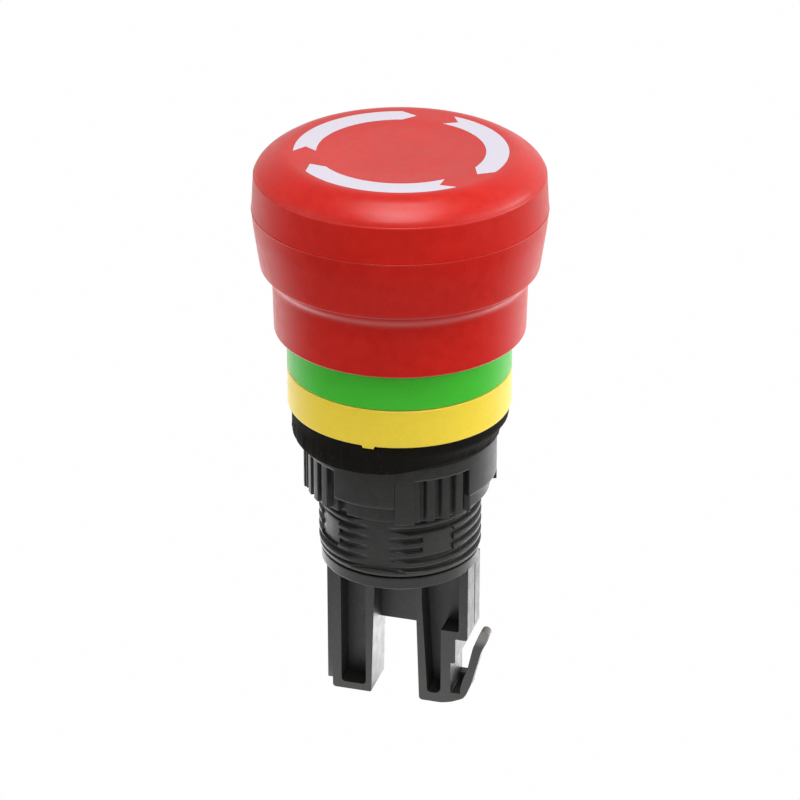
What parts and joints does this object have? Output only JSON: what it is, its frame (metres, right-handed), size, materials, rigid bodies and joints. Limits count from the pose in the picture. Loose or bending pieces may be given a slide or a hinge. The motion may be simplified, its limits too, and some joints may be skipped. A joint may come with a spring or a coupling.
{
  "type": "emergency stop button actuator",
  "caption": "Red mushroom-head, twist-to-release emergency stop actuator with green and yellow collar rings, threaded housing, ring nut, gasket and a two-legged plug-in adapter below.",
  "frame": {"origin": "centre of the bottom of the bounding box: on the button axis, level with the lower ends of the fork legs; the panel seat is 40.7 mm above it", "axes": "+Z along the button axis towards the head, -Y towards the front of the fork under the housing, +X towards the leg that carries the latch arm"},
  "size_m": [0.0388, 0.0388, 0.0806],
  "materials": {
    "red_plastic": "satin moulded",
    "white_plastic": "satin",
    "green_plastic": "satin moulded",
    "yellow_plastic": "satin moulded",
    "black_plastic": "fine moulded grain",
    "carrier_plastic": "smooth moulded",
    "natural_plastic": "natural, satin",
    "rubber": "matt",
    "spring_steel": "drawn"
  },
  "bodies": {
    "base": {"threaded_housing": "black_plastic", "indicator_ring": "green_plastic", "collar_ring": "yellow_plastic", "panel_gasket": "rubber", "latch_carrier": "carrier_plastic", "guide_bush": "natural_plastic", "shaft_seal": "rubber", "return_spring": "spring_steel", "coupling_adapter": "black_plastic", "pawl_spring_left": "spring_steel", "pawl_spring_right": "spring_steel"},
    "plunger_body": {"plunger": "natural_plastic", "contact_pusher": "black_plastic", "torsion_spring": "spring_steel"},
    "knob": {"head_shell": "red_plastic", "head_skirt": "red_plastic", "arrow_inlay_1": "white_plastic", "arrow_inlay_2": "white_plastic", "arrow_inlay_3": "white_plastic", "stem": "natural_plastic", "stem_clip": "spring_steel"},
    "washer_body": {"lock_washer": "black_plastic"},
    "nut_body": {"ring_nut": "black_plastic"},
    "pawl_left_body": {"latch_pawl_left": "spring_steel"},
    "pawl_right_body": {"latch_pawl_right": "spring_steel"},
    "arm_body": {"latch_arm": "black_plastic"}
  },
  "joints": [
    {"name": "cap_press", "type": "slide", "parent": "base", "child": "plunger_body", "axis": [0, 0, -1], "range_m": [0, 0.005], "stiffness_N_per_m": 800, "springref_m": -0.002, "deforming": ["return_spring"]},
    {"name": "cap_twist", "type": "hinge", "parent": "plunger_body", "child": "knob", "pos_m": [0, 0, 0], "axis": [0, 0, 1], "range_deg": [-45, 0], "stiffness_Nm_per_rad": 0.03},
    {"name": "pawl_left_slide", "type": "slide", "parent": "base", "child": "pawl_left_body", "axis": [-1, 0, 0], "range_m": [0, 0.001]},
    {"name": "pawl_right_slide", "type": "slide", "parent": "base", "child": "pawl_right_body", "axis": [1, 0, 0], "range_m": [0, 0.001]},
    {"name": "nut_travel", "type": "slide", "parent": "base", "child": "washer_body", "axis": [0, 0, 1], "range_m": [-0.00601, 0]},
    {"name": "nut_turn", "type": "hinge", "parent": "washer_body", "child": "nut_body", "pos_m": [0, 0, 0], "axis": [0, 0, 1], "range_deg": [-1440, 0]},
    {"name": "latch_flex", "type": "hinge", "parent": "base", "child": "arm_body", "pos_m": [0.00995, -0.002, 0.0021], "axis": [0, 1, 0], "range_deg": [-5, 3], "stiffness_Nm_per_rad": 0.3}
  ],
  "couplings": [
    {"joint": "pawl_left_slide", "follows": "cap_press", "ratio": 0.2},
    {"joint": "pawl_right_slide", "follows": "cap_press", "ratio": 0.2},
    {"joint": "nut_travel", "follows": "nut_turn", "m_per_rad": 0.00023873}
  ]
}
